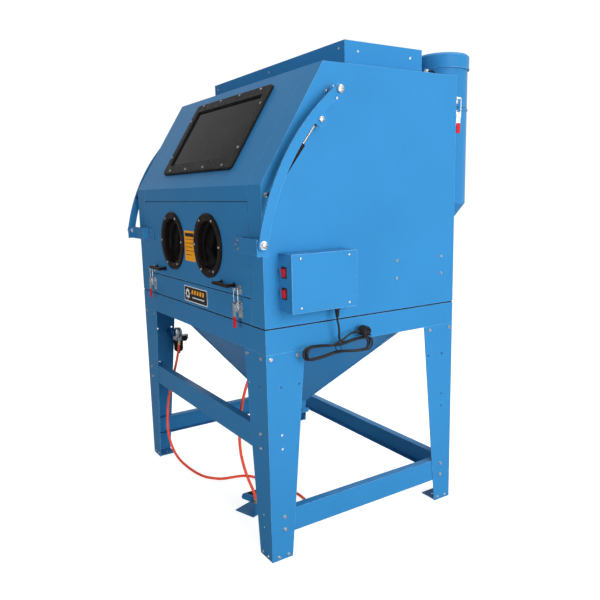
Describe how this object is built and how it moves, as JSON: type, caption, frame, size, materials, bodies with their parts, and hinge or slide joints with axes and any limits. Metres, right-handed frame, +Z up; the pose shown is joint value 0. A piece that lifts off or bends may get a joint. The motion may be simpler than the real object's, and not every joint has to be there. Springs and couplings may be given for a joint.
{
  "type": "sandblast cabinet",
  "caption": "Free-standing suction sandblast cabinet: lift-up glove door on arms with gas springs, sloped window, hopper stand, foot pedal, air hoses, light box and dust collector.",
  "frame": {"origin": "on the floor, at the centre of the four floor anchor holes", "axes": "+Z up, -Y the front with the glove door and window, +X the side with the switch box"},
  "size_m": [1.3681, 1.1743, 1.867],
  "materials": {
    "blue_paint": "semi-gloss blue powder coat",
    "zinc_steel": "zinc plated steel",
    "chrome_rod": "hard chromed rod",
    "black_paint": "satin black enamel",
    "black_rubber": "matt natural rubber",
    "cord_rubber": "soft black jacket",
    "orange_hose": "smooth orange-red air hose",
    "black_plastic": "moulded, fine grain",
    "gloss_black": "glossy black-brown moulding",
    "red_grip": "dipped red vinyl",
    "red_rocker": "glossy red switch",
    "tinted_glass": "dark tempered glass",
    "lamp_white": "white lamp tube",
    "cast_zinc": "die-cast, fine blasted",
    "gun_alloy": "cast alloy"
  },
  "bodies": {
    "cabinet": {"front_legs": "blue_paint", "rear_legs": "blue_paint", "stand_rails": "blue_paint", "foot_plates": "blue_paint", "stand_bolts": "zinc_steel", "skirt_frame": "blue_paint", "hopper": "blue_paint", "side_wall_left": "blue_paint", "side_wall_right": "blue_paint", "back_wall": "blue_paint", "roof_panel": "blue_paint", "window_panel": "blue_paint", "sill_panel": "blue_paint", "window_bezel": "black_plastic", "window_glass": "tinted_glass", "cabinet_screws": "zinc_steel", "lamp_hood": "blue_paint", "lamp_tube": "lamp_white", "work_grate": "zinc_steel", "blast_gun": "gun_alloy", "pivot_studs": "zinc_steel", "latch_bases": "zinc_steel", "switch_box": "blue_paint", "cord_gland": "black_plastic", "power_cord": "cord_rubber", "cord_hank": "cord_rubber", "power_plug": "cord_rubber", "collector_head": "blue_paint", "collector_body": "blue_paint", "collector_bin": "blue_paint", "motor_cable": "cord_rubber", "regulator_bracket": "blue_paint", "regulator_body": "cast_zinc", "filter_bowl": "black_plastic", "supply_hose": "orange_hose", "gun_hose": "orange_hose", "pedal_base": "blue_paint"},
    "door": {"door_panel": "blue_paint", "door_seal": "black_rubber", "glove_rings": "gloss_black", "gloves": "black_rubber", "door_handles": "gloss_black", "door_brackets": "blue_paint", "lift_arms": "blue_paint", "door_hardware": "zinc_steel"},
    "strut_tube_l": {"strut_tube_left": "black_paint"},
    "strut_tube_r": {"strut_tube_right": "black_paint"},
    "strut_rod_l": {"strut_rod_left": "chrome_rod"},
    "strut_rod_r": {"strut_rod_right": "chrome_rod"},
    "lever_l": {"latch_lever_left": "zinc_steel"},
    "lever_r": {"latch_lever_right": "zinc_steel"},
    "bail_l": {"latch_bail_left": "zinc_steel"},
    "bail_r": {"latch_bail_right": "zinc_steel"},
    "lever_c": {"collector_lever": "zinc_steel"},
    "bail_c": {"collector_bail": "zinc_steel"},
    "rocker_u": {"rocker_upper": "red_rocker"},
    "rocker_d": {"rocker_lower": "red_rocker"},
    "gate": {"gate_slide": "zinc_steel"},
    "knob": {"regulator_knob": "zinc_steel"},
    "tread": {"pedal_tread": "blue_paint"}
  },
  "joints": [
    {"name": "door_lift", "type": "hinge", "parent": "cabinet", "child": "door", "pos_m": [0, -0.163, 1.652], "axis": [-1, 0, 0], "range_deg": [0, 70]},
    {"name": "strut_swing_l", "type": "hinge", "parent": "cabinet", "child": "strut_tube_l", "pos_m": [-0.646, -0.43, 1.31], "axis": [-1, 0, 0], "range_deg": [-20, 20]},
    {"name": "strut_stroke_l", "type": "slide", "parent": "strut_tube_l", "child": "strut_rod_l", "axis": [0, 0.6171, 0.7869], "range_m": [-0.002, 0.105]},
    {"name": "strut_swing_r", "type": "hinge", "parent": "cabinet", "child": "strut_tube_r", "pos_m": [0.646, -0.43, 1.31], "axis": [-1, 0, 0], "range_deg": [-20, 20]},
    {"name": "strut_stroke_r", "type": "slide", "parent": "strut_tube_r", "child": "strut_rod_r", "axis": [0, 0.6171, 0.7869], "range_m": [-0.002, 0.105]},
    {"name": "latch_throw_l", "type": "hinge", "parent": "cabinet", "child": "lever_l", "pos_m": [-0.436, -0.465, 0.926], "axis": [-1, 0, 0], "range_deg": [0, 120]},
    {"name": "bail_swing_l", "type": "hinge", "parent": "lever_l", "child": "bail_l", "pos_m": [-0.436, -0.463, 0.911], "axis": [-1, 0, 0], "range_deg": [-150, 0]},
    {"name": "latch_throw_r", "type": "hinge", "parent": "cabinet", "child": "lever_r", "pos_m": [0.436, -0.465, 0.926], "axis": [-1, 0, 0], "range_deg": [0, 120]},
    {"name": "bail_swing_r", "type": "hinge", "parent": "lever_r", "child": "bail_r", "pos_m": [0.436, -0.463, 0.911], "axis": [-1, 0, 0], "range_deg": [-150, 0]},
    {"name": "collector_throw", "type": "hinge", "parent": "cabinet", "child": "lever_c", "pos_m": [0.5292, 0.53903, 1.625], "axis": [-0.2419, -0.9703, 0], "range_deg": [0, 120]},
    {"name": "collector_bail_swing", "type": "hinge", "parent": "lever_c", "child": "bail_c", "pos_m": [0.52726, 0.53952, 1.61], "axis": [-0.2419, -0.9703, 0], "range_deg": [-150, 0]},
    {"name": "lamp_switch", "type": "hinge", "parent": "cabinet", "child": "rocker_u", "pos_m": [0.644, -0.386, 1.054], "axis": [-1, 0, 0], "range_deg": [0, 16]},
    {"name": "collector_switch", "type": "hinge", "parent": "cabinet", "child": "rocker_d", "pos_m": [0.644, -0.386, 0.983], "axis": [-1, 0, 0], "range_deg": [0, 16]},
    {"name": "gate_pull", "type": "slide", "parent": "cabinet", "child": "gate", "axis": [0, -1, 0], "range_m": [0, 0.12]},
    {"name": "pressure_turn", "type": "hinge", "parent": "cabinet", "child": "knob", "pos_m": [-0.54, -0.308, 0.63], "axis": [0, 0, 1], "range_deg": [0, 270]},
    {"name": "pedal_press", "type": "hinge", "parent": "cabinet", "child": "tread", "pos_m": [0.13038, -0.20587, 0.024], "axis": [0.9466, 0.3223, 0], "range_deg": [0, 10], "stiffness_Nm_per_rad": 8, "springref_deg": -11.46}
  ],
  "couplings": [
    {"joint": "strut_swing_l", "follows": "door_lift", "ratio": -0.24575},
    {"joint": "strut_stroke_l", "follows": "door_lift", "m_per_rad": 0.08292},
    {"joint": "bail_swing_l", "follows": "latch_throw_l", "ratio": -0.82},
    {"joint": "strut_swing_r", "follows": "door_lift", "ratio": -0.24575},
    {"joint": "strut_stroke_r", "follows": "door_lift", "m_per_rad": 0.08292},
    {"joint": "bail_swing_r", "follows": "latch_throw_r", "ratio": -0.82},
    {"joint": "collector_bail_swing", "follows": "collector_throw", "ratio": -0.82}
  ]
}
